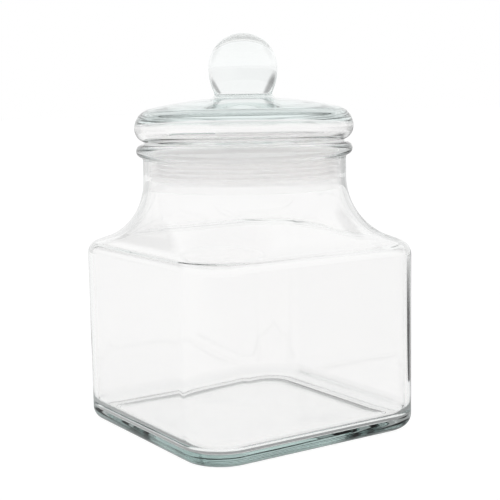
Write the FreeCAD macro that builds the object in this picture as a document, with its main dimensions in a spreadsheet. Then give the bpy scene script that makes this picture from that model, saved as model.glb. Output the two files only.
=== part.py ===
import FreeCAD, Part
import math
import os
import Sketcher

# Lidded glass canister.  Square blown jar with a round neck, a glass lid with
# a hollow brim and a solid ball knob, and the ribbed plastic seal that grips
# the lid's plug.  +Z is up, the origin is the centre of the face the jar
# stands on, and the square sides run along X and Y.  All in millimetres.

doc = FreeCAD.newDocument("canister")
SHEET = "sizes"
sheet = doc.addObject("Spreadsheet::Sheet", SHEET)

# ---------------------------------------------------------------- the sizes

DRIVING = [
    ("half_width", 84.0, "half the side of the square body"),
    ("corner_radius", 28.0, "upright corners of the body"),
    ("foot_radius", 8.0, "edge between the side walls and the base"),
    ("wall", 3.4, "glass thickness of sides, shoulder and neck"),
    ("floor_level", 7.0, "top of the thick base, inside"),
    ("floor_radius", 9.0, "rounding inside between floor and walls"),
    ("push_up", 1.6, "depth of the recess under the base"),
    ("foot_ring_inset", 17.0, "from the side wall to the recess under the base"),
    ("push_up_radius", 14.0, "corners of the recess under the base"),
    ("neck_radius", 65.6, "outside of the round neck"),
    ("shoulder_level", 162.0, "where the shoulder turns into the straight neck"),
    ("flare_radius", 41.0, "hollow curve of the shoulder, seen across the corners"),
    ("fold_radius", 9.0, "rounded fold between shoulder and side walls"),
    ("shoulder_slope", 18.0, "fall of the shoulder just inside the fold, degrees"),
    ("neck_flat", 3.4, "where the flat sides fade out on the round neck"),
    ("rim_level", 184.2, "flat top of the neck"),
    ("bead_radius", 4.2, "half-round bead outside the rim"),
    ("bead_blend", 1.8, "blend under the bead"),
    ("rim_ease", 1.2, "rounding of the inner edge of the rim"),
    ("plug_radius", 52.0, "outside of the plug under the lid"),
    ("plug_level", 160.0, "lower end of the plug"),
    ("lid_wall", 3.6, "glass thickness of the plug and of the brim's underside"),
    ("lid_radius", 70.6, "outside of the lid"),
    ("brim_low_radius", 9.0, "lower half of the lid's rounded edge"),
    ("brim_high_radius", 13.0, "upper half of the lid's rounded edge"),
    ("dome_radius", 270.0, "gentle dome of the lid"),
    ("knob_radius", 22.2, "solid ball knob, upper half"),
    ("knob_low_radius", 36.0, "lower half of the knob, fuller than a ball"),
    ("knob_level", 231.8, "widest level of the knob"),
    ("waist_blend", 2.5, "blend where the knob stands on the dome"),
    ("hollow_radius", 66.6, "side of the hollow in the brim"),
    ("hollow_level", 199.2, "roof of the hollow at its side"),
    ("hollow_rise", 2.0, "rise of the roof from its side to the middle"),
    ("hollow_edge", 5.0, "rounding between side, roof and floor of the hollow"),
    ("plug_blend", 3.0, "rounding where the hollow opens into the plug"),
    ("flange_thickness", 1.0, "seal flange between rim and lid"),
    ("flange_radius", 64.6, "outside of the seal flange"),
    ("sleeve_wall", 2.0, "seal sleeve around the plug"),
    ("sleeve_level", 158.6, "lower end of the seal sleeve"),
    ("plug_fit", 0.05, "running gap between sleeve and plug"),
    ("fin_gap", 0.3, "gap between the seal fins and the neck"),
    ("fin_root", 0.8, "thickness of a fin at the sleeve"),
    ("fin_tip", 0.4, "thickness of a fin at its tip"),
    ("fin_droop", 0.6, "how far a fin tip sits below its root"),
    ("fin_pitch", 2.75, "spacing of the fins"),
    ("fin_count", 8, "number of fins above the lowest lip"),
    ("skirt_drop", 3.4, "how far the lowest lip hangs below the sleeve"),
]

DERIVED = [
    ("bore", "neck_radius - wall"),
    ("corner_reach", "(half_width - corner_radius) * sqrt(2) + corner_radius"),
    ("reach_gain", "corner_reach - neck_radius"),
    ("flare_centre", "neck_radius + flare_radius"),
    ("fold_centre", "corner_reach - fold_radius"),
    ("flare_turn", "90 - shoulder_slope"),
    ("flare_end", "flare_centre - flare_radius * sin(shoulder_slope * 1deg)"),
    ("fold_start", "fold_centre + fold_radius * sin(shoulder_slope * 1deg)"),
    ("slope_drop", "(fold_start - flare_end) * tan(shoulder_slope * 1deg)"),
    ("fold_level", "shoulder_level - (flare_radius + fold_radius)"
                   " * cos(shoulder_slope * 1deg) - slope_drop"),
    ("recess_half", "half_width - foot_ring_inset"),
    ("bead_level", "rim_level - bead_radius"),
    ("bead_low", "rim_level - 2 * bead_radius"),
    ("seat_level", "rim_level + flange_thickness"),
    ("plug_bore", "plug_radius - lid_wall"),
    ("plug_tip", "plug_level + lid_wall / 2"),
    ("plug_middle", "plug_radius - lid_wall / 2"),
    ("brim_level", "seat_level + brim_low_radius"),
    ("brim_low_centre", "lid_radius - brim_low_radius"),
    ("brim_high_centre", "lid_radius - brim_high_radius"),
    ("dome_centre_drop", "sqrt((dome_radius - brim_high_radius)^2"
                         " - brim_high_centre^2)"),
    ("dome_centre", "brim_level - dome_centre_drop"),
    ("dome_edge", "brim_high_centre * dome_radius"
                  " / (dome_radius - brim_high_radius)"),
    ("dome_edge_level", "dome_centre + dome_centre_drop * dome_radius"
                        " / (dome_radius - brim_high_radius)"),
    ("hollow_floor", "seat_level + lid_wall"),
    ("hollow_crown", "hollow_level + hollow_rise"),
    ("roof_radius", "(hollow_radius^2 + hollow_rise^2) / (2 * hollow_rise)"),
    ("roof_centre", "hollow_crown - roof_radius"),
    ("plug_rounding", "lid_wall / 2"),
    ("knob_top", "knob_level + knob_radius"),
    ("knob_low_centre", "knob_radius - knob_low_radius"),
    ("knob_rise", "knob_level - dome_centre"),
    ("knob_gap", "sqrt(knob_low_centre^2 + knob_rise^2)"),
    ("knob_along", "(dome_radius^2 - knob_low_radius^2 + knob_gap^2)"
                   " / (2 * knob_gap)"),
    ("knob_across", "sqrt(dome_radius^2 - knob_along^2)"),
    ("waist_radius", "(knob_along * knob_low_centre"
                     " + knob_across * knob_rise) / knob_gap"),
    ("waist_foot", "dome_centre + (knob_along * knob_rise"
                   " - knob_across * knob_low_centre) / knob_gap"),
    ("sleeve_bore", "plug_radius + plug_fit"),
    ("sleeve_radius", "sleeve_bore + sleeve_wall"),
    ("fin_radius", "bore - fin_gap"),
    ("fin_level", "rim_level - fin_pitch + fin_root / 2"),
    ("fin_under", "fin_level - fin_root"),
    ("fin_tip_top", "fin_level - fin_droop"),
    ("fin_tip_under", "fin_tip_top - fin_tip"),
    ("fin_span", "fin_pitch * (fin_count - 1)"),
    ("skirt_root", "sleeve_level + fin_root"),
    ("skirt_tip", "sleeve_level - skirt_drop"),
    ("skirt_tip_top", "skirt_tip + fin_tip"),
]

# The shoulder passes through these stations, from the neck down to the side
# walls: first round the hollow flare, then round the fold.
FLARE_STATIONS = 5
FOLD_STATIONS = 4
STATIONS = FLARE_STATIONS + FOLD_STATIONS
SKINS = {"outer": "0", "inner": "wall"}


def station_sizes(skin, depth):
    """Level, half width and corner radius of every shoulder section."""
    rows = []
    neck = "(neck_radius - %s)" % depth
    for index in range(STATIONS):
        if index < FLARE_STATIONS:
            turn = "(flare_turn * %d / %d * 1deg)" % (index, FLARE_STATIONS - 1)
            arm = "(flare_radius + %s)" % depth
            reach = "flare_centre - %s * cos%s" % (arm, turn)
            level = "shoulder_level - %s * sin%s" % (arm, turn)
        else:
            step = index - FLARE_STATIONS
            turn = "(flare_turn * %d / %d * 1deg)" % (
                FOLD_STATIONS - 1 - step, FOLD_STATIONS - 1)
            arm = "(fold_radius - %s)" % depth
            reach = "fold_centre + %s * cos%s" % (arm, turn)
            level = "fold_level + %s * sin%s" % (arm, turn)
        name = "%s_%d" % (skin, index)
        rows.append(("share_" + name, "(%s - %s) / reach_gain" % (reach, neck)))
        rows.append(("level_" + name, level))
        rows.append(("half_" + name,
                     "%s + (half_width - neck_radius) * share_%s" % (neck, name)))
        rows.append(("round_" + name,
                     "%s - (neck_radius - corner_radius) * share_%s" % (neck, name)))
    return rows


def fill_sheet():
    row = 1
    for name, value, note in DRIVING:
        sheet.set("A%d" % row, name)
        sheet.set("B%d" % row, str(value))
        sheet.set("C%d" % row, note)
        sheet.setAlias("B%d" % row, name)
        row += 1
    derived = list(DERIVED)
    for skin, depth in SKINS.items():
        derived += station_sizes(skin, depth)
    for name, formula in derived:
        sheet.set("A%d" % row, name)
        sheet.set("B%d" % row, "=" + formula)
        sheet.setAlias("B%d" % row, name)
        row += 1
    doc.recompute()


def size(name):
    value = sheet.get(name)
    return float(getattr(value, "Value", value))


def bound(name):
    return "%s.%s" % (SHEET, name)


fill_sheet()

# ------------------------------------------------------------ sketch helpers

START, END, CENTRE = 1, 2, 3
ORIGIN_POINT = (-1, 1)
LEVEL_LINE, UPRIGHT_LINE = -1, -2
UP = FreeCAD.Vector(0, 0, 1)
AXIS = None


def new_body(label):
    body = doc.addObject("PartDesign::Body", label)
    body.Label = label
    body.Placement = FreeCAD.Placement()
    return body


def new_sketch(body, name, role, level=None):
    plane = [item for item in body.Origin.OriginFeatures if item.Role == role][0]
    sketch = body.newObject("Sketcher::SketchObject", name)
    sketch.AttachmentSupport = [(plane, "")]
    sketch.MapMode = "FlatFace"
    if level:
        sketch.setExpression("AttachmentOffset.Base.z", bound(level))
    return sketch


def join(sketch, kind, *places):
    return sketch.addConstraint(Sketcher.Constraint(kind, *places))


def tie(sketch, kind, places, name, sign=1):
    """Add a sized constraint and bind it to a cell of the sheet."""
    index = sketch.addConstraint(
        Sketcher.Constraint(kind, *places, sign * size(name)))
    prefix = "-" if sign < 0 else ""
    sketch.setExpression("Constraints[%d]" % index, prefix + bound(name))


def rounded_square(body, name, level, half, radius):
    """Square with rounded corners on its own level, centred on the axis."""
    sketch = new_sketch(body, name, "XY_Plane", level)
    side, rounding = size(half), size(radius)
    inset = side - rounding
    for quarter in range(4):
        turn = FreeCAD.Rotation(UP, 90 * quarter)
        start = turn.multVec(FreeCAD.Vector(side, -inset, 0))
        end = turn.multVec(FreeCAD.Vector(side, inset, 0))
        middle = turn.multVec(FreeCAD.Vector(inset, inset, 0))
        begin = math.radians(90 * quarter)
        corner = Part.Circle(middle, UP, rounding)
        sketch.addGeometry(Part.LineSegment(start, end), False)
        sketch.addGeometry(
            Part.ArcOfCircle(corner, begin, begin + math.pi / 2), False)
    for line in range(0, 8, 2):
        join(sketch, "Tangent", line, END, line + 1, START)
        join(sketch, "Tangent", line + 1, END, (line + 2) % 8, START)
        join(sketch, "Vertical" if line in (0, 4) else "Horizontal", line)
        if line:
            join(sketch, "Equal", 1, line + 1)
    tie(sketch, "Radius", (1,), radius)
    for line, kind, sign in ((0, "DistanceX", 1), (2, "DistanceY", 1),
                             (4, "DistanceX", -1), (6, "DistanceY", -1)):
        tie(sketch, kind, (*ORIGIN_POINT, line, START), half, sign)
    return sketch


def split_circle(body, name, level, radius):
    """Full circle in eight arcs, short and long by turns, to match the
    sides and corners of the squares below it."""
    sketch = new_sketch(body, name, "XY_Plane", level)
    circle = Part.Circle(FreeCAD.Vector(), UP, size(radius))
    short = math.asin(size("neck_flat") / 2 / size(radius))
    for quarter in range(4):
        middle = math.radians(90 * quarter)
        after = middle + math.pi / 2
        sketch.addGeometry(
            Part.ArcOfCircle(circle, middle - short, middle + short), False)
        sketch.addGeometry(
            Part.ArcOfCircle(circle, middle + short, after - short), False)
    for arc in range(8):
        if arc < 7:
            join(sketch, "Coincident", arc, CENTRE, *ORIGIN_POINT)
        join(sketch, "Coincident", arc, END, (arc + 1) % 8, START)
    join(sketch, "Equal", 0, 7)
    tie(sketch, "Radius", (0,), radius)
    for arc in range(0, 8, 2):
        across = LEVEL_LINE if arc in (0, 4) else UPRIGHT_LINE
        join(sketch, "Symmetric", arc, START, arc, END, across)
        tie(sketch, "Distance", (arc, START, arc, END), "neck_flat")
    return sketch


def outline(body, name, steps):
    """Closed outline in the XZ plane.  Each step ends at (x, z); a step with
    a radius is an arc about (centre x, centre z), leaving its start to the
    left or to the right.  AXIS stands for x = 0."""
    sketch = new_sketch(body, name, "XZ_Plane")
    last = steps[-1][0]
    joints = []
    chords = []
    for number, (point, *curve) in enumerate(steps):
        start, end = spot(last), spot(point)
        chords.append(end - start)
        if curve:
            radius, centre, turns_left = curve
            middle = spot(centre)
            ring = Part.Circle(middle, UP, size(radius))
            angles = [math.atan2(p.y - middle.y, p.x - middle.x)
                      for p in (start, end)]
            if not turns_left:
                angles.reverse()
            if angles[1] <= angles[0]:
                angles[1] += 2 * math.pi
            sketch.addGeometry(Part.ArcOfCircle(ring, *angles), False)
            ends = (START, END) if turns_left else (END, START)
        else:
            sketch.addGeometry(Part.LineSegment(start, end), False)
            ends = (START, END)
        joints.append((number, ends))
        last = point
    for index, (number, ends) in enumerate(joints):
        following, next_ends = joints[(index + 1) % len(joints)]
        join(sketch, "Coincident", number, ends[1], following, next_ends[0])
    for (number, ends), chord, (point, *curve) in zip(joints, chords, steps):
        tie_x(sketch, number, ends[1], point[0])
        tie_z(sketch, number, ends[1], point[1])
        if curve and abs(chord.y) > abs(chord.x):
            tie_x(sketch, number, CENTRE, curve[1][0])
        elif curve:
            tie_z(sketch, number, CENTRE, curve[1][1])
    return sketch


def tie_x(sketch, number, end, name):
    if name is AXIS:
        join(sketch, "PointOnObject", number, end, UPRIGHT_LINE)
    else:
        tie(sketch, "DistanceX", (*ORIGIN_POINT, number, end), name)


def tie_z(sketch, number, end, name):
    tie(sketch, "DistanceY", (*ORIGIN_POINT, number, end), name)


def spot(names):
    x, z = names
    return FreeCAD.Vector(0 if x is AXIS else size(x), size(z), 0)


# ----------------------------------------------------------- feature helpers

def feature(body, kind, name, **settings):
    item = body.newObject("PartDesign::" + kind, name)
    for key, value in settings.items():
        setattr(item, key, value)
    return item


def spun(body, name, sketch):
    item = feature(body, "Revolution", name, Profile=sketch, Angle=360.0)
    item.ReferenceAxis = (sketch, ["V_Axis"])
    doc.recompute()
    return item


def rounded(body, name, edges, radius):
    item = feature(body, "Fillet", name, Base=(body.Tip, edges))
    item.setExpression("Radius", bound(radius))
    doc.recompute()
    return item


def edges_at(body, level, low=0.0, high=1e6):
    """Edges of the body lying in one level, between two distances out."""
    found = []
    for number, edge in enumerate(body.Tip.Shape.Edges, 1):
        box = edge.BoundBox
        reach = max(math.hypot(v.X, v.Y) for v in edge.Vertexes)
        flat = abs(box.ZMin - level) < 0.01 and abs(box.ZMax - level) < 0.01
        if flat and low - 0.01 <= reach <= high + 0.01:
            found.append("Edge%d" % number)
    return found


def shoulder_sections(body, skin):
    sketches = [split_circle(body, skin + "_section_0", "level_%s_0" % skin,
                             "half_%s_0" % skin)]
    for index in range(1, STATIONS):
        name = "%s_%d" % (skin, index)
        sketches.append(rounded_square(
            body, "%s_section_%d" % (skin, index), "level_" + name,
            "half_" + name, "round_" + name))
    return sketches


# ---------------------------------------------------------------- glass body

def make_glass_body():
    body = new_body("glass_body")

    plan = rounded_square(body, "plan", None, "half_width", "corner_radius")
    walls = feature(body, "Pad", "walls", Profile=plan)
    walls.setExpression("Length", bound("level_outer_%d" % (STATIONS - 1)))
    doc.recompute()

    outer = shoulder_sections(body, "outer")
    feature(body, "AdditiveLoft", "shoulder", Profile=outer[-1],
            Sections=outer[-2::-1])
    doc.recompute()

    rounded(body, "foot_edge", edges_at(body, 0.0), "foot_radius")

    floor = rounded_square(body, "floor_plan", "floor_level",
                           "half_inner_%d" % (STATIONS - 1),
                           "round_inner_%d" % (STATIONS - 1))
    hollow = feature(body, "Pocket", "hollow", Profile=floor, Reversed=True)
    hollow.setExpression("Length", "%s - %s" % (
        bound("level_inner_%d" % (STATIONS - 1)), bound("floor_level")))
    doc.recompute()

    inner = shoulder_sections(body, "inner")
    feature(body, "SubtractiveLoft", "shoulder_hollow", Profile=inner[-1],
            Sections=inner[-2::-1])
    doc.recompute()

    rounded(body, "floor_edge",
            edges_at(body, size("floor_level")), "floor_radius")

    neck = outline(body, "neck_outline", [
        (("bore", "shoulder_level"),),
        (("neck_radius", "shoulder_level"),),
        (("neck_radius", "bead_low"),),
        (("neck_radius", "rim_level"), "bead_radius",
         ("neck_radius", "bead_level"), True),
        (("bore", "rim_level"),),
    ])
    spun(body, "neck", neck)
    rounded(body, "bead_root",
            edges_at(body, size("bead_low"), size("neck_radius"),
                     size("neck_radius")), "bead_blend")
    rounded(body, "rim_edge",
            edges_at(body, size("rim_level"), size("bore"), size("bore")),
            "rim_ease")

    recess = rounded_square(body, "recess_plan", None, "recess_half",
                            "push_up_radius")
    push_up = feature(body, "Pocket", "push_up_recess", Profile=recess,
                      Reversed=True)
    push_up.setExpression("Length", bound("push_up"))
    doc.recompute()
    return body


# ----------------------------------------------------------------- glass lid

def make_glass_lid():
    body = new_body("glass_lid")
    shell = outline(body, "lid_outline", [
        (("knob_radius", "knob_level"), "knob_radius",
         (AXIS, "knob_level"), False),
        (("waist_radius", "waist_foot"), "knob_low_radius",
         ("knob_low_centre", "knob_level"), False),
        (("dome_edge", "dome_edge_level"), "dome_radius",
         (AXIS, "dome_centre"), False),
        (("lid_radius", "brim_level"), "brim_high_radius",
         ("brim_high_centre", "brim_level"), False),
        (("brim_low_centre", "seat_level"), "brim_low_radius",
         ("brim_low_centre", "brim_level"), False),
        (("plug_radius", "seat_level"),),
        (("plug_radius", "plug_tip"),),
        (("plug_bore", "plug_tip"), "plug_rounding",
         ("plug_middle", "plug_tip"), False),
        (("plug_bore", "hollow_floor"),),
        (("hollow_radius", "hollow_floor"),),
        (("hollow_radius", "hollow_level"),),
        ((AXIS, "hollow_crown"), "roof_radius", (AXIS, "roof_centre"), True),
        ((AXIS, "knob_top"),),
    ])
    spun(body, "shell", shell)
    for name, level, reach, radius in (
            ("knob_root", "waist_foot", "waist_radius", "waist_blend"),
            ("hollow_roof", "hollow_level", "hollow_radius", "hollow_edge"),
            ("hollow_foot", "hollow_floor", "hollow_radius", "hollow_edge"),
            ("plug_top", "hollow_floor", "plug_bore", "plug_blend")):
        rounded(body, name,
                edges_at(body, size(level), size(reach), size(reach)), radius)
    return body


# ----------------------------------------------------------------- seal ring

def make_seal_ring():
    body = new_body("seal_ring")
    sleeve = outline(body, "sleeve_outline", [
        (("sleeve_bore", "seat_level"),),
        (("sleeve_bore", "sleeve_level"),),
        (("sleeve_radius", "sleeve_level"),),
        (("sleeve_radius", "rim_level"),),
        (("flange_radius", "rim_level"),),
        (("flange_radius", "seat_level"),),
    ])
    spun(body, "sleeve", sleeve)
    skirt = outline(body, "skirt_outline", [
        (("sleeve_bore", "sleeve_level"),),
        (("sleeve_radius", "sleeve_level"),),
        (("fin_radius", "skirt_tip"),),
        (("fin_radius", "skirt_tip_top"),),
        (("sleeve_radius", "skirt_root"),),
        (("sleeve_bore", "skirt_root"),),
    ])
    spun(body, "skirt", skirt)
    fin = outline(body, "fin_outline", [
        (("sleeve_bore", "fin_under"),),
        (("sleeve_radius", "fin_under"),),
        (("fin_radius", "fin_tip_under"),),
        (("fin_radius", "fin_tip_top"),),
        (("sleeve_radius", "fin_level"),),
        (("sleeve_bore", "fin_level"),),
    ])
    top_fin = spun(body, "fin", fin)
    fins = feature(body, "LinearPattern", "fins", Originals=[top_fin],
                   Direction=(fin, ["V_Axis"]), Reversed=True)
    fins.setExpression("Length", bound("fin_span"))
    fins.setExpression("Occurrences", bound("fin_count"))
    body.Tip = fins
    doc.recompute()
    return body


# -------------------------------------------------------------------- output

NODES = [make_glass_body(), make_seal_ring(), make_glass_lid()]
doc.recompute()

for item in doc.Objects:
    if "Invalid" in item.State or "Error" in item.State:
        raise RuntimeError("%s did not build: %s" % (item.Name, item.State))

os.makedirs("parts", exist_ok=True)
for node in NODES:
    shape = node.Shape
    if shape.isNull() or not shape.isValid() or len(shape.Solids) != 1:
        raise RuntimeError(node.Label + " is not one sound solid")
    shape.exportStep("parts/%s.step" % node.Label)
    print(node.Label, round(shape.Volume / 1000.0, 2), "cm3", shape.BoundBox)
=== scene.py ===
import math

import bpy
import numpy as np
from mathutils import Matrix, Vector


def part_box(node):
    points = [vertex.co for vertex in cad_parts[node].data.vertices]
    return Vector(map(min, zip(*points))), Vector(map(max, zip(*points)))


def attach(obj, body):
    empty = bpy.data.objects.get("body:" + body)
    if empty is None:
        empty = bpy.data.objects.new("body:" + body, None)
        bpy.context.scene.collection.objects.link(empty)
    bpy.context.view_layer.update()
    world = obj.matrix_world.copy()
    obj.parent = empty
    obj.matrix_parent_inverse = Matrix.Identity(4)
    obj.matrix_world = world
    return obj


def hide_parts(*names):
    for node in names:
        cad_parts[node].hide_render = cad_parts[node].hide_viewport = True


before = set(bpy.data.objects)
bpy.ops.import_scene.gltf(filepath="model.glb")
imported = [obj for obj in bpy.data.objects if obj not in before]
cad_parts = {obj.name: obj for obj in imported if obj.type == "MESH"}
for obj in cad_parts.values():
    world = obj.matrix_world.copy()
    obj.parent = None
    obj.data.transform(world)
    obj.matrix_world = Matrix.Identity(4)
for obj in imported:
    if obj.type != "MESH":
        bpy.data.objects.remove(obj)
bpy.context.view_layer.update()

MM = 0.001

# ------------------------------------------------------------------- sizes
# The overall extents come from the CAD boxes.  The radii, thicknesses and
# levels that go with them are in millimetres.

body_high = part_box("glass_body")[1] / MM
lid_low, lid_high = (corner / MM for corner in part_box("glass_lid"))
seal_low, seal_high = (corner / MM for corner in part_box("seal_ring"))

HALF_WIDTH = body_high.x
RIM = body_high.z
LID_RADIUS = lid_high.x
KNOB_TOP = lid_high.z
PLUG_LOW = lid_low.z
SEAT = seal_high.z
SKIRT_LOW = seal_low.z
FLANGE_RADIUS = seal_high.x

CORNER = 28.0
WALL = 3.4
FOOT_RADIUS = 8.0
FLOOR_LEVEL = 7.0
FLOOR_RADIUS = 9.0
PUSH_UP = 1.6
RECESS_HALF = HALF_WIDTH - 17.0
RECESS_CORNER = 14.0
RECESS_EDGE = 1.2
RECESS_RUN_IN = 0.8
RECESS_RUN_OUT = 1.6
KNURL_DEPTH = 0.22
KNURL_INSET = 2.4
KNURL_MARGIN = 0.8
HUB = 4.0
FLOOR_SLACK, BASE_SLACK = 0.01, 0.001
NECK = 65.6
BORE = NECK - WALL
SHOULDER_TOP = 162.0
FLARE_RADIUS = 41.0
FOLD_RADIUS = 9.0
SHOULDER_SLOPE = math.radians(18.0)
BEAD_RADIUS = 4.2
BEAD_BLEND = 1.8
RIM_EASE = 1.2

LID_WALL = 3.6
PLUG_RADIUS = 52.0
BRIM_LOW = 9.0
BRIM_HIGH = 13.0
DOME_RADIUS = 270.0
KNOB_RADIUS = 22.2
KNOB_LOW_RADIUS = 36.0
WAIST_BLEND = 2.5
HOLLOW_RADIUS = 66.6
HOLLOW_TOP = 199.2
HOLLOW_RISE = 2.0
HOLLOW_EDGE = 5.0
PLUG_BLEND = 3.0
SEAT_BLEND = 0.6

SLEEVE_BORE = PLUG_RADIUS + 0.05
SLEEVE_WALL = 2.0
SLEEVE_LOW = 158.6
FIN_REACH = BORE - 0.3
FIN_ROOT = 0.8
FIN_TIP = 0.4
FIN_DROOP = 0.6
FIN_PITCH = 2.75
FIN_COUNT = 8
LIP_ROUND = 0.2
TIP_ROUND = 0.25
ROOT_ROUND = 0.5
FLANGE_ROOT_ROUND = 0.4
FLANGE_ROUND = 0.3

# Unevenness of the glass: inside and outside of the jar, inside and outside
# of the lid, how much more the jar's floor has, and the least share left at
# the rim and at the knob.  LID_WAVE_PLACE moves the lid to another part of
# the same waves, so that it doesn't repeat the jar's.
JAR_WAVE_IN, JAR_WAVE_OUT = 0.10, 0.035
LID_WAVE_IN, LID_WAVE_OUT = 0.10, 0.03
FLOOR_WAVE_GAIN = 1.6
WAVE_LEAST = 0.15
RIM_CALM, RIM_FADE = 30.0, 20.0
KNOB_FADE = 30.0
LID_WAVE_PLACE = 500.0

# Mesh density: degrees for each step on a round, columns around each piece.
FINE_STEP = 9.0
COARSE_STEP = 30.0
AROUND_BODY = 384
AROUND_LID = 288
AROUND_SEAL = 288

# ----------------------------------------------------------- outline helpers


def arc(centre, radius, start, end, step):
    """Points on an arc from start to end, one every step degrees."""
    count = max(2, int(abs(end - start) / step) + 1)
    angles = np.radians(np.linspace(start, end, count + 1))
    return np.column_stack([centre[0] + radius * np.cos(angles),
                            centre[1] + radius * np.sin(angles)])


def line(start, end, step=None):
    """Points on a straight run, one every step millimetres."""
    start, end = np.array(start, float), np.array(end, float)
    length = np.linalg.norm(end - start)
    count = 1 if step is None else max(1, int(math.ceil(length / step)))
    share = np.linspace(0, 1, count + 1)[:, None]
    return start + (end - start) * share


def trim(points, reach):
    """The run with the last `reach` millimetres taken off, and its end
    direction."""
    points = [np.array(p, float) for p in points]
    while True:
        step = points[-1] - points[-2]
        length = np.linalg.norm(step)
        if length > reach or len(points) == 2:
            points[-1] = points[-1] - step / length * min(reach, 0.98 * length)
            return np.array(points), step / length
        reach -= length
        points.pop()


def blended(before, after, radius):
    """Two runs that meet at a corner, joined by a round of that radius."""
    into, out = before[-1] - before[-2], after[1] - after[0]
    into, out = into / np.linalg.norm(into), out / np.linalg.norm(out)
    turn = math.acos(max(-1.0, min(1.0, float(into @ out))))
    if turn < 0.02 or radius <= 0:
        return np.vstack([before, after[1:]])
    reach = radius * math.tan(turn / 2)
    first, into = trim(before, reach)
    last, out = trim(after[::-1], reach)
    last, out = last[::-1], -out
    a, d = first[-1], last[0]
    turn = math.acos(max(-1.0, min(1.0, float(into @ out))))
    gap = np.linalg.norm(d - a)
    handle = gap / (2 * math.sin(turn / 2)) * 4 / 3 * math.tan(turn / 4)
    b, c = a + into * handle, d - out * handle
    step = FINE_STEP if radius > 1.0 else COARSE_STEP
    count = max(3, int(math.degrees(turn) / step))
    s = np.linspace(0, 1, count + 1)[1:-1, None]
    curve = ((1 - s) ** 3 * a + 3 * (1 - s) ** 2 * s * b
             + 3 * (1 - s) * s ** 2 * c + s ** 3 * d)
    return np.vstack([first, curve, last])


def chain(*runs):
    """Runs joined end to end; a number between two runs is the radius of the
    round between them."""
    path, radius = runs[0], 0.0
    for item in runs[1:]:
        if isinstance(item, (int, float)):
            radius = item
        else:
            path = blended(path, item, radius)
            radius = 0.0
    return path


# -------------------------------------------------------------- mesh helpers


def skin(name, rings, low_pole=None, high_pole=None, looped=False):
    """A smooth mesh through closed rings of equal count (millimetres)."""
    rings = np.asarray(rings, float)
    count, around = rings.shape[:2]
    points = rings.reshape(-1, 3)
    column = np.arange(around)
    beside = (column + 1) % around
    pairs = count if looped else count - 1
    quads = []
    for index in range(pairs):
        a, b = index * around, (index + 1) % count * around
        quads.append(np.column_stack([a + column, a + beside,
                                      b + beside, b + column]))
    faces = np.vstack(quads).tolist()
    extra = []
    for pole, row, flip in ((low_pole, 0, True),
                            (high_pole, count - 1, False)):
        if pole is None:
            continue
        tip = len(points) + len(extra)
        extra.append(pole)
        base = row * around
        fan = np.column_stack([base + column, base + beside,
                               np.full(around, tip)])
        faces += (fan[:, ::-1] if flip else fan).tolist()
    if extra:
        points = np.vstack([points, extra])
    mesh = bpy.data.meshes.new(name)
    mesh.from_pydata((points * MM).tolist(), [], faces)
    mesh.validate()
    mesh.shade_smooth()
    piece = bpy.data.objects.new(name, mesh)
    bpy.context.scene.collection.objects.link(piece)
    return piece


def turned(path, around):
    """Rings of a solid of revolution about Z."""
    angle = np.arange(around) * 2 * math.pi / around
    path = np.asarray(path)
    x = path[:, 0, None] * np.cos(angle)
    y = path[:, 0, None] * np.sin(angle)
    z = np.repeat(path[:, 1, None], around, 1)
    return np.stack([x, y, z], 2)


def square_reach(angle, half, corner):
    """Distance from the axis to a square with rounded corners."""
    fold = np.abs((angle + math.pi / 4) % (math.pi / 2) - math.pi / 4)
    inset = half - corner
    flat = half * np.tan(fold) <= inset
    along = inset * (np.cos(fold) + np.sin(fold))
    square = corner ** 2 - 2 * inset ** 2 + along ** 2
    rounding = np.sqrt(np.maximum(square, 0))
    return np.where(flat, half / np.cos(fold), along + rounding)


# ---------------------------------------------------------------- glass body

CORNER_REACH = (HALF_WIDTH - CORNER) * math.sqrt(2) + CORNER
FLARE_CENTRE = (NECK + FLARE_RADIUS, SHOULDER_TOP)
FOLD_X = CORNER_REACH - FOLD_RADIUS
FLARE_END = FLARE_CENTRE[0] - FLARE_RADIUS * math.sin(SHOULDER_SLOPE)
FOLD_START = FOLD_X + FOLD_RADIUS * math.sin(SHOULDER_SLOPE)
FOLD_LEVEL = (SHOULDER_TOP
              - (FLARE_RADIUS + FOLD_RADIUS) * math.cos(SHOULDER_SLOPE)
              - (FOLD_START - FLARE_END) * math.tan(SHOULDER_SLOPE))
FLARE_TURN = 90 - math.degrees(SHOULDER_SLOPE)

SWELL_SEED, SWELL_COUNT = 11, 14
SWELL_FINENESS, SWELL_TURN = 0.045, 6.28
swell_random = np.random.default_rng(SWELL_SEED)
SWELLS = [(swell_random.normal(size=3) * SWELL_FINENESS,
           swell_random.uniform(0, SWELL_TURN)) for _ in range(SWELL_COUNT)]


def swell(points):
    """Slow unevenness of blown glass, as a share of its usual height."""
    total = sum(np.sin(points @ vector + phase) for vector, phase in SWELLS)
    return total / math.sqrt(len(SWELLS))


def shoulder(depth):
    """(share, level) up the shoulder: 1 is the square body, 0 the neck."""
    fold = arc((FOLD_X, FOLD_LEVEL), FOLD_RADIUS - depth, 0, FLARE_TURN, 8)
    flare = arc(FLARE_CENTRE, FLARE_RADIUS + depth, 180 + FLARE_TURN, 180, 3)
    path = np.vstack([fold, line(fold[-1], flare[0], 2.5)[1:-1], flare])
    share = (path[:, 0] - (NECK - depth)) / (CORNER_REACH - NECK)
    return np.column_stack([share, path[:, 1]])


def morphed(path, depth):
    """Half width, corner and level on the way from square body to neck."""
    share, level = path[:, 0], path[:, 1]
    half = NECK - depth + (HALF_WIDTH - NECK) * share
    corner = NECK - depth - (NECK - CORNER) * share
    return np.column_stack([half, corner, level])


def inset_rings(path, depth=0.0):
    """Half width, corner and level of sections set in from the body's side
    by path's first column."""
    inset, level = path[:, 0], path[:, 1]
    corner = CORNER - depth - inset
    return np.column_stack([HALF_WIDTH - depth - inset, corner, level])


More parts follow.
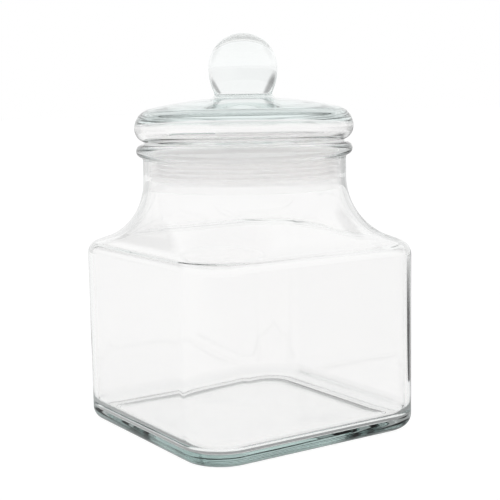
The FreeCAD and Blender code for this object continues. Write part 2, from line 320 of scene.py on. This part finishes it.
def round_rings(path):
    """Half width, corner and level of round sections."""
    return np.column_stack([path[:, 0], path[:, 0], path[:, 1]])


def body_rings():
    """The jar's outline from the middle of its base, up outside, over the
    rim and down inside, and the rings of points that it makes."""
    wall_top = shoulder(0.0)[0, 1]
    inner_top = shoulder(WALL)[0, 1]

    ring_edge = HALF_WIDTH - FOOT_RADIUS
    high = (RECESS_HALF - RECESS_RUN_IN, PUSH_UP)
    low = (RECESS_HALF + RECESS_RUN_OUT, 0)
    base = chain(line((HUB, PUSH_UP), high, 9), RECESS_EDGE,
                 line(high, low), RECESS_EDGE,
                 line(low, (ring_edge, 0), 1.0))
    beyond = base[:, 0] - RECESS_HALF
    spread = np.clip(beyond / (ring_edge - RECESS_HALF), 0, 1)
    base_corner = np.where(
        base[:, 0] < RECESS_HALF, RECESS_CORNER * base[:, 0] / RECESS_HALF,
        RECESS_CORNER + spread * (CORNER - FOOT_RADIUS - RECESS_CORNER))
    base = np.column_stack([base[:, 0], base_corner, base[:, 1]])

    foot = arc((FOOT_RADIUS, FOOT_RADIUS), FOOT_RADIUS, 270, 180, 9)[1:]
    outer_wall = line((0, FOOT_RADIUS), (0, wall_top), 4)[1:-1]
    neck = chain(
        line((NECK, SHOULDER_TOP), (NECK, RIM - 2 * BEAD_RADIUS), 2.5),
        BEAD_BLEND,
        arc((NECK, RIM - BEAD_RADIUS), BEAD_RADIUS, -90, 90, 9),
        line((NECK, RIM), (BORE, RIM), 0.8), RIM_EASE,
        line((BORE, RIM), (BORE, SHOULDER_TOP), 2.0))[1:-1]

    inner_wall = line((0, inner_top), (0, FLOOR_LEVEL + FLOOR_RADIUS), 4)[1:-1]
    floor = arc((FLOOR_RADIUS, FLOOR_LEVEL + FLOOR_RADIUS), FLOOR_RADIUS,
                180, 270, 9)
    floor_edge = HALF_WIDTH - WALL - FLOOR_RADIUS
    flat = line((floor_edge, FLOOR_LEVEL), (HUB, FLOOR_LEVEL), 6)[1:]
    flat = np.column_stack([
        flat[:, 0], (CORNER - WALL - FLOOR_RADIUS) * flat[:, 0] / floor_edge,
        flat[:, 1]])

    outline = np.vstack([
        base, inset_rings(foot), inset_rings(outer_wall),
        morphed(shoulder(0.0), 0.0), round_rings(neck),
        morphed(shoulder(WALL)[::-1], WALL), inset_rings(inner_wall, WALL),
        inset_rings(floor, WALL), flat])

    angle = np.arange(AROUND_BODY) * 2 * math.pi / AROUND_BODY
    reach = np.stack([square_reach(angle, half, corner)
                      for half, corner, _ in outline])
    level = np.repeat(outline[:, 2, None], AROUND_BODY, 1)
    rings = np.stack([reach * np.cos(angle), reach * np.sin(angle), level], 2)
    return outline, rings


def make_body():
    """The jar, with its sides and floor a little uneven and the ring that it
    stands on pressed up in every second column."""
    outline, rings = body_rings()
    top = int(np.argmax(outline[:, 2]))
    outward = rings.copy()
    outward[:, :, 2] = 0
    outward /= np.linalg.norm(outward, axis=2, keepdims=True)
    inside = np.arange(len(outline)) > top
    low = outline[:, 2] < FLOOR_LEVEL + FLOOR_SLACK
    wave = np.where(inside, JAR_WAVE_IN, JAR_WAVE_OUT)
    uneven = wave[:, None] * swell(rings)
    below_rim = (RIM - RIM_CALM - outline[:, 2]) / RIM_FADE
    uneven *= np.clip(below_rim, WAVE_LEAST, 1)[:, None]
    side = np.where(low, 0.0, 1.0)[:, None]
    rings += outward * (uneven * side)[:, :, None]
    floor = (inside & low)[:, None]
    rings[:, :, 2] += np.where(floor, uneven * FLOOR_WAVE_GAIN, 0.0)
    knurl_end = HALF_WIDTH - FOOT_RADIUS - KNURL_MARGIN
    ring = ((outline[:, 2] < BASE_SLACK)
            & (outline[:, 0] > RECESS_HALF + KNURL_INSET)
            & (outline[:, 0] < knurl_end))
    pressed = KNURL_DEPTH * (np.arange(AROUND_BODY) % 2)
    rings[:, :, 2] += np.where(ring[:, None], pressed, 0.0)
    return skin("canister_body", rings, low_pole=(0, 0, PUSH_UP),
                high_pole=(0, 0, FLOOR_LEVEL))


# ----------------------------------------------------------------- glass lid


def lid_path():
    """From the top of the hollow, down inside, round the plug and up
    outside to the top of the ball."""
    brim = SEAT + BRIM_LOW
    high_x, low_x = LID_RADIUS - BRIM_HIGH, LID_RADIUS - BRIM_LOW
    drop = math.sqrt((DOME_RADIUS - BRIM_HIGH) ** 2 - high_x ** 2)
    lean = math.degrees(math.atan2(drop, high_x))
    dome = np.array([0.0, brim - drop])
    knob = np.array([0.0, KNOB_TOP - KNOB_RADIUS])
    under = knob + [KNOB_RADIUS - KNOB_LOW_RADIUS, 0.0]
    between = under - dome
    gap = np.linalg.norm(between)
    along = (DOME_RADIUS ** 2 - KNOB_LOW_RADIUS ** 2 + gap ** 2) / (2 * gap)
    across = math.sqrt(DOME_RADIUS ** 2 - along ** 2)
    waist = (dome + between * along / gap
             + np.array([between[1], -between[0]]) * across / gap)
    foot = math.degrees(math.atan2(*(waist - dome)[::-1]))
    root = math.degrees(math.atan2(*(waist - under)[::-1]))
    shell = np.vstack([
        arc((low_x, brim), BRIM_LOW, -90, 0, 6),
        arc((high_x, brim), BRIM_HIGH, 0, lean, 4)[1:],
        arc(dome, DOME_RADIUS, lean, foot, 0.35)[1:]])
    ball = np.vstack([arc(under, KNOB_LOW_RADIUS, root, 0, 1.5),
                      arc(knob, KNOB_RADIUS, 0, 90, 3)[1:-1]])
    outer = chain(shell, WAIST_BLEND, ball)

    floor = SEAT + LID_WALL
    plug_bore = PLUG_RADIUS - LID_WALL
    plug_mid, plug_tip = PLUG_RADIUS - LID_WALL / 2, PLUG_LOW + LID_WALL / 2
    roof = (HOLLOW_RADIUS ** 2 + HOLLOW_RISE ** 2) / (2 * HOLLOW_RISE)
    roof_lean = math.degrees(math.acos(HOLLOW_RADIUS / roof))
    return chain(
        arc((0.0, HOLLOW_TOP + HOLLOW_RISE - roof), roof, 89.85, roof_lean,
            0.15),
        HOLLOW_EDGE,
        line((HOLLOW_RADIUS, HOLLOW_TOP), (HOLLOW_RADIUS, floor), 1),
        HOLLOW_EDGE, line((HOLLOW_RADIUS, floor), (plug_bore, floor), 1.5),
        PLUG_BLEND, line((plug_bore, floor), (plug_bore, plug_tip), 2.0),
        arc((plug_mid, plug_tip), LID_WALL / 2, 180, 360, 15),
        line((PLUG_RADIUS, plug_tip), (PLUG_RADIUS, SEAT), 2.0), SEAT_BLEND,
        line((PLUG_RADIUS, SEAT), (low_x, SEAT), 1.5), outer)


def make_lid():
    """The lid, a little uneven except on its plug."""
    path = lid_path()
    rings = turned(path, AROUND_LID)
    tip = int(np.argmin(path[:, 1]))
    inside = np.arange(len(path)) < tip
    narrow = np.clip(path[:, 0] / KNOB_FADE, WAVE_LEAST, 1)
    amount = np.where(inside, LID_WAVE_IN, LID_WAVE_OUT) * narrow
    plug = (path[:, 0] < PLUG_RADIUS + 1) & (path[:, 1] < SEAT + 1) & ~inside
    amount = np.where(plug, 0.0, amount)
    rings[:, :, 2] += amount[:, None] * swell(rings + LID_WAVE_PLACE)
    return skin("canister_lid", rings,
                low_pole=(0, 0, HOLLOW_TOP + HOLLOW_RISE),
                high_pole=(0, 0, KNOB_TOP))


# ----------------------------------------------------------------- seal ring


def seal_path():
    """Closed outline of the seal, up the finned outside, down the bore."""
    sleeve = SLEEVE_BORE + SLEEVE_WALL
    lip_tip = (FIN_REACH, SKIRT_LOW)
    lip_top = (FIN_REACH, SKIRT_LOW + FIN_TIP)
    corner = (sleeve, SLEEVE_LOW + FIN_ROOT)
    runs = [line((SLEEVE_BORE, SLEEVE_LOW), (sleeve, SLEEVE_LOW)), LIP_ROUND,
            line((sleeve, SLEEVE_LOW), lip_tip, 1.2), LIP_ROUND,
            line(lip_tip, lip_top), TIP_ROUND,
            line(lip_top, corner, 1.2)]
    top_fin = RIM - FIN_PITCH + FIN_ROOT / 2
    for index in reversed(range(FIN_COUNT)):
        top = top_fin - FIN_PITCH * index
        under = (sleeve, top - FIN_ROOT)
        tip_top = (FIN_REACH, top - FIN_DROOP)
        tip_under = (FIN_REACH, top - FIN_DROOP - FIN_TIP)
        runs += [ROOT_ROUND, line(corner, under, 1.0), ROOT_ROUND,
                 line(under, tip_under, 1.2), TIP_ROUND,
                 line(tip_under, tip_top), TIP_ROUND,
                 line(tip_top, (sleeve, top), 1.2)]
        corner = (sleeve, top)
    flange_low, flange_high = (FLANGE_RADIUS, RIM), (FLANGE_RADIUS, SEAT)
    bore_top = (SLEEVE_BORE, SEAT)
    runs += [ROOT_ROUND, line(corner, (sleeve, RIM), 0.8),
             FLANGE_ROOT_ROUND,
             line((sleeve, RIM), flange_low, 1.5), FLANGE_ROUND,
             line(flange_low, flange_high), FLANGE_ROUND,
             line(flange_high, bore_top, 1.5), FLANGE_ROUND,
             line(bore_top, (SLEEVE_BORE, SLEEVE_LOW), 1.5)]
    return chain(*runs)[:-1]


def make_seal():
    return skin("canister_seal", turned(seal_path(), AROUND_SEAL), looped=True)


# ----------------------------------------------------------------- materials

# These values were tuned to look right.  They are not measured.
# Body colour of the glass and how strongly it absorbs.
JAR_TINT, JAR_DENSITY = (0.333, 0.567, 0.533), 6.0
LID_TINT, LID_DENSITY = (0.52, 0.75, 0.72), 3.0
# The two ends of its clouded veil, and its surface waves in metres.
VEIL_LOW, VEIL_HIGH = (0.975, 0.969, 0.968), (0.984, 0.976, 0.975)
RIPPLE = 0.00002
# The same for the milky plastic, with its painted glow that brightens it, how
# far light spreads in it, its range of roughness and its grain.
MILK_LOW, MILK_HIGH = (0.93, 0.927, 0.93), (0.972, 0.965, 0.961)
# Painted glow: the plastic gives out this much light though it is no lamp.
PAINTED_MILK_GLOW = 0.042
MILK_REACH = 0.02
GLOSS_LOW, GLOSS_HIGH = 0.38, 0.62
GRAIN_DEPTH = 0.00004
# Scales of the noises.
WAVES, CLOUDS, MILK_CLOUDS, GRAIN = 38.0, 9.0, 28.0, 420.0


def shader(name, **values):
    """A Principled material; an underscore stands for a socket's space."""
    material = bpy.data.materials.new(name)
    material.use_nodes = True
    tree = material.node_tree
    principled = tree.nodes["Principled BSDF"]
    for socket, value in values.items():
        principled.inputs[socket.replace("_", " ")].default_value = value
    return material, tree, principled


def add(tree, kind, **values):
    """A new node with those inputs or settings."""
    node = tree.nodes.new(kind)
    for key, value in values.items():
        if key in node.inputs:
            node.inputs[key].default_value = value
        else:
            setattr(node, key, value)
    return node


def map_range(tree, source, target, smooth=True):
    """A node that takes one range of values to another."""
    node = add(tree, "ShaderNodeMapRange")
    if smooth:
        node.interpolation_type = "SMOOTHSTEP"
    for socket, value in zip(("From Min", "From Max", "To Min", "To Max"),
                             (*source, *target)):
        node.inputs[socket].default_value = value
    return node


def two_tone(tree, factor, low, high):
    """Colour that drifts from low to high with a noise."""
    tone = add(tree, "ShaderNodeValToRGB")
    for element, position, colour in zip(tone.color_ramp.elements,
                                         (0.32, 0.68), (low, high)):
        element.position = position
        element.color = (*colour, 1)
    tree.links.new(factor, tone.inputs["Fac"])
    return tone.outputs["Color"]


def glass(name, tint, density):
    """Clear soda-lime glass with a faint green body colour, slow waves in
    its surface and faint clouds of colour."""
    material, tree, principled = shader(
        name, Roughness=0.0, IOR=1.52, Transmission_Weight=1.0)
    absorb = add(tree, "ShaderNodeVolumeAbsorption", Color=(*tint, 1),
                 Density=density)
    output = tree.nodes["Material Output"]
    tree.links.new(absorb.outputs[0], output.inputs["Volume"])
    place = add(tree, "ShaderNodeTexCoord")
    waves = add(tree, "ShaderNodeTexNoise", Scale=WAVES, Detail=2.0)
    cloud = add(tree, "ShaderNodeTexNoise", Scale=CLOUDS, Detail=3.0)
    bump = add(tree, "ShaderNodeBump", Strength=1.0, Distance=RIPPLE)
    for texture in (waves, cloud):
        tree.links.new(place.outputs["Object"], texture.inputs["Vector"])
    colour = two_tone(tree, cloud.outputs["Fac"], VEIL_LOW, VEIL_HIGH)
    tree.links.new(colour, principled.inputs["Base Color"])
    tree.links.new(waves.outputs["Fac"], bump.inputs["Height"])
    tree.links.new(bump.outputs["Normal"], principled.inputs["Normal"])
    return material


def soft_plastic(name):
    """Milky, slightly cloudy polyethylene; its faint glow is painted light, an
    emission that brightens it in place of light scattered inside it."""
    material, tree, principled = shader(
        name, IOR=1.45, Subsurface_Weight=1.0,
        Emission_Color=(1, 1, 1, 1), Emission_Strength=PAINTED_MILK_GLOW)
    principled.inputs["Subsurface Radius"].default_value = (MILK_REACH,) * 3
    principled.inputs["Subsurface Scale"].default_value = 1.0
    place = add(tree, "ShaderNodeTexCoord")
    cloud = add(tree, "ShaderNodeTexNoise", Scale=MILK_CLOUDS, Detail=3.0)
    haze = map_range(tree, (0.0, 1.0), (GLOSS_LOW, GLOSS_HIGH), smooth=False)
    grain = add(tree, "ShaderNodeTexNoise", Scale=GRAIN, Detail=2.0)
    bump = add(tree, "ShaderNodeBump", Strength=0.6, Distance=GRAIN_DEPTH)
    for texture in (cloud, grain):
        tree.links.new(place.outputs["Object"], texture.inputs["Vector"])
    colour = two_tone(tree, cloud.outputs["Fac"], MILK_LOW, MILK_HIGH)
    tree.links.new(colour, principled.inputs["Base Color"])
    tree.links.new(cloud.outputs["Fac"], haze.inputs["Value"])
    tree.links.new(haze.outputs["Result"], principled.inputs["Roughness"])
    tree.links.new(grain.outputs["Fac"], bump.inputs["Height"])
    tree.links.new(bump.outputs["Normal"], principled.inputs["Normal"])
    return material


# ------------------------------------------------------------------ assembly

body = make_body()
lid = make_lid()
seal = make_seal()

body.data.materials.append(glass("jar_glass", JAR_TINT, JAR_DENSITY))
lid.data.materials.append(glass("lid_glass", LID_TINT, LID_DENSITY))
seal.data.materials.append(soft_plastic("seal_plastic"))

for piece, node, bone, slot in ((body, "glass_body", "jar", "jar_glass"),
                                (seal, "seal_ring", "seal", "seal_plastic"),
                                (lid, "glass_lid", "lid", "lid_glass")):
    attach(piece, bone)
    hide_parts(node)

# --------------------------------------------------------------------- stage

FLOOR_SIZE = 12.0
FLOOR_TONE, FLOOR_GLOW = 0.4, 0.7
CARD_LEVEL, SHEEN_LEVEL = 0.0006, 0.0003
SHEEN_TONE = 0.1
SHEEN_AZIMUTH = 33.0
SHEEN_SPAN, SHEEN_LOW, SHEEN_HIGH = 0.4, 0.08, 0.62

# Soft dark screens out beyond the white surround: (azimuth, elevation,
# radius, how much light they take away).  SCREEN_CORE is the share of the
# radius that is fully dark.
SCREENS = ((268, 28, 18, 0.65), (20, 24, 20, 0.65), (0, 90, 48, 0.35))
SCREEN_CORE = 0.35

# The azimuth that the main camera looks towards.  The card on the floor
# stands still beside the object; it was placed for that camera.
VIEW_TURN = 327.0
# Painted shade in the rims: the card on the floor and the round wall are seen
# only through the rims of the glass, where they draw dark lines.
CARD_SIDE, CARD_TURN, CARD_SPREAD = 0.100, 36.0, 14.0
CARD_NEAR, CARD_FAR = 0.10, 1.30
CARD_TONE, CARD_FADE = 0.06, (0.30, 1.15)
RING_RADIUS, RING_HEIGHT, RING_PANELS = 2.5, 0.9, 72
RING_TONE, RING_FADE = 0.8, (90.0, 99.0)

# Light in the rim of the glass has crossed its surface fewer times than the
# first of these, and has been mirrored more times than the second.
RIM_CROSSINGS = 2.5
RIM_TURNS = 0.5


def stage_mesh(name, corners, faces):
    mesh = bpy.data.meshes.new(name)
    mesh.from_pydata(corners, [], faces)
    item = bpy.data.objects.new(name, mesh)
    bpy.context.scene.collection.objects.link(item)
    return item


def plane(name, size, level):
    corners = [(-size, -size), (size, -size), (size, size), (-size, size)]
    return stage_mesh(name, [(x, y, level) for x, y in corners],
                      [(0, 1, 2, 3)])


def compare(tree, operation, threshold):
    node = add(tree, "ShaderNodeMath", operation=operation)
    node.inputs[1].default_value = threshold
    return node


def product(tree, first, second):
    node = add(tree, "ShaderNodeMath", operation="MULTIPLY")
    tree.links.new(first, node.inputs[0])
    tree.links.new(second, node.inputs[1])
    return node.outputs["Value"]


def heading(azimuth, elevation=0.0):
    """Unit vector towards a place around the object: 0 is -Y, 90 is +X."""
    a, e = math.radians(azimuth), math.radians(elevation)
    return (math.sin(a) * math.cos(e), -math.cos(a) * math.cos(e), math.sin(e))


def make_world():
    """White all round, less the light that the screens take away."""
    world = bpy.data.worlds.new("studio")
    bpy.context.scene.world = world
    world.use_nodes = True
    tree = world.node_tree
    background = tree.nodes["Background"]
    place = add(tree, "ShaderNodeTexCoord")
    light = None
    for azimuth, elevation, radius, depth in SCREENS:
        dot = add(tree, "ShaderNodeVectorMath", operation="DOT_PRODUCT")
        dot.inputs[1].default_value = heading(azimuth, elevation)
        span = (math.cos(math.radians(radius)),
                math.cos(math.radians(radius * SCREEN_CORE)))
        fade = map_range(tree, span, (1.0, 1.0 - depth))
        tree.links.new(place.outputs["Generated"], dot.inputs[0])
        tree.links.new(dot.outputs["Value"], fade.inputs["Value"])
        share = fade.outputs["Result"]
        light = share if light is None else product(tree, light, share)
    background.inputs["Color"].default_value = (1, 1, 1, 1)
    tree.links.new(light, background.inputs["Strength"])


def edge_only(tree, principled, fade_range):
    """Leave a card to be seen only in the rims of the glass, where light
    turns once inside a single wall, and fade it out with distance."""
    path = add(tree, "ShaderNodeLightPath")
    single = compare(tree, "LESS_THAN", RIM_CROSSINGS)
    turned_once = compare(tree, "GREATER_THAN", RIM_TURNS)
    place = add(tree, "ShaderNodeTexCoord")
    reach = add(tree, "ShaderNodeVectorMath", operation="LENGTH")
    fade = map_range(tree, fade_range, (1.0, 0.0))
    tree.links.new(path.outputs["Transmission Depth"], single.inputs[0])
    tree.links.new(path.outputs["Glossy Depth"], turned_once.inputs[0])
    tree.links.new(place.outputs["Object"], reach.inputs[0])
    tree.links.new(reach.outputs["Value"], fade.inputs["Value"])
    both = product(tree, single.outputs["Value"], turned_once.outputs["Value"])
    cover = product(tree, both, fade.outputs["Result"])
    tree.links.new(cover, principled.inputs["Alpha"])


def rim_shade_card(name, corners, faces, tone, fade_range):
    """A dark card that only the rims of the glass see: painted shade that
    draws dark lines along them.
    """
    card = stage_mesh(name, corners, faces)
    paint, tree, principled = shader(
        name + "_paint", Base_Color=(tone, tone, tone, 1), Roughness=1.0,
        Specular_IOR_Level=0.0)
    edge_only(tree, principled, fade_range)
    card.data.materials.append(paint)
    card.visible_camera = False
    card.visible_diffuse = False
    card.visible_glossy = False
    card.visible_shadow = False


def floor_fan():
    """Corners of a fan on the floor that runs out from a point beside the
    object, widening the same each way."""
    start = np.array(heading(VIEW_TURN - 90)[:2]) * CARD_SIDE
    corners = []
    for reach, side in ((CARD_NEAR, -1), (CARD_FAR, -1),
                        (CARD_FAR, 1), (CARD_NEAR, 1)):
        turn = VIEW_TURN - CARD_TURN - side * CARD_SPREAD
        ahead = np.array(heading(turn)[:2])
        corners.append((*(start + ahead * reach), CARD_LEVEL))
    return corners


def ring_wall():
    """Corners and faces of a low round wall."""
    corners, faces = [], []
    for index in range(RING_PANELS):
        x, y, _ = heading(360.0 * index / RING_PANELS)
        x, y = x * RING_RADIUS, y * RING_RADIUS
        corners += [(x, y, 0.0), (x, y, RING_HEIGHT)]
        after = (index + 1) % RING_PANELS
        faces.append((2 * index, 2 * after, 2 * after + 1, 2 * index + 1))
    return corners, faces


def make_floor():
    floor = plane("floor", FLOOR_SIZE, 0.0)
    paint, _, _ = shader(
        "floor_paint", Base_Color=(FLOOR_TONE, FLOOR_TONE, FLOOR_TONE, 1),
        Roughness=1.0, Specular_IOR_Level=0.0, Emission_Color=(1, 1, 1, 1),
        Emission_Strength=FLOOR_GLOW)
    floor.data.materials.append(paint)


def make_sheen_floor():
    """A grey floor that only mirror reflections see, lighter on one side."""
    floor = plane("sheen_floor", FLOOR_SIZE, SHEEN_LEVEL)
    paint, tree, principled = shader(
        "sheen_paint", Base_Color=(SHEEN_TONE, SHEEN_TONE, SHEEN_TONE, 1),
        Roughness=1.0, Specular_IOR_Level=0.0, Emission_Color=(1, 1, 1, 1))
    place = add(tree, "ShaderNodeTexCoord")
    side = add(tree, "ShaderNodeVectorMath", operation="DOT_PRODUCT")
    side.inputs[1].default_value = heading(SHEEN_AZIMUTH)
    strength = map_range(tree, (-SHEEN_SPAN, SHEEN_SPAN),
                         (SHEEN_LOW, SHEEN_HIGH), smooth=False)
    tree.links.new(place.outputs["Object"], side.inputs[0])
    tree.links.new(side.outputs["Value"], strength.inputs["Value"])
    tree.links.new(strength.outputs["Result"],
                   principled.inputs["Emission Strength"])
    floor.data.materials.append(paint)
    floor.visible_camera = False
    floor.visible_diffuse = False
    floor.visible_transmission = False
    floor.visible_shadow = False


make_floor()
make_world()
# Painted shade: two dark cards that only the rims of the glass see.
rim_shade_card("card_right", floor_fan(), [(0, 1, 2, 3)], CARD_TONE, CARD_FADE)
rim_shade_card("card_round", *ring_wall(), RING_TONE, RING_FADE)
make_sheen_floor()

# -------------------------------------------------------------------- camera

# The camera of the photo's view: distances in metres, angles in radians.
CAMERA_DISTANCE = 0.737
CAMERA_HEIGHT = 0.2127
CAMERA_TURN = 0.5777
CAMERA_YAW = -0.00343
CAMERA_PITCH = 0.13312
CAMERA_ROLL = -0.01757
FOCAL_PX = 1135.3
IMAGE_PX = 500
SENSOR = 36.0
CLIP_NEAR, CLIP_FAR = 0.05, 60


def spin(axis, angle):
    return np.array(Matrix.Rotation(angle, 3, axis))


def place_camera():
    """A camera that looks level along +Y, pitched, yawed and rolled, then
    carried round the object."""
    data = bpy.data.cameras.new("camera")
    data.sensor_width = SENSOR
    data.lens = FOCAL_PX * SENSOR / IMAGE_PX
    data.clip_start, data.clip_end = CLIP_NEAR, CLIP_FAR
    item = bpy.data.objects.new("camera", data)
    view = spin("X", CAMERA_PITCH) @ spin("Z", -CAMERA_YAW)
    right, ahead, up = view[0], view[1], view[2]
    c, s = math.cos(CAMERA_ROLL), math.sin(CAMERA_ROLL)
    right, up = c * right + s * up, c * up - s * right
    turn = spin("Z", math.pi - CAMERA_TURN)
    place = turn @ np.array([0, -CAMERA_DISTANCE, CAMERA_HEIGHT])
    matrix = np.eye(4)
    matrix[:3, 0], matrix[:3, 1], matrix[:3, 2] = (
        turn @ right, turn @ up, turn @ -ahead)
    matrix[:3, 3] = place
    item.matrix_world = Matrix(matrix.tolist())
    bpy.context.scene.collection.objects.link(item)
    bpy.context.scene.camera = item


place_camera()

# Light passes many glass faces here, so it needs many bounces.
settings = bpy.context.scene.cycles
settings.max_bounces = 40
settings.transmission_bounces = 40
settings.glossy_bounces = 12
settings.diffuse_bounces = 8
settings.blur_glossy = 0.0
bpy.context.scene.view_settings.view_transform = "Standard"
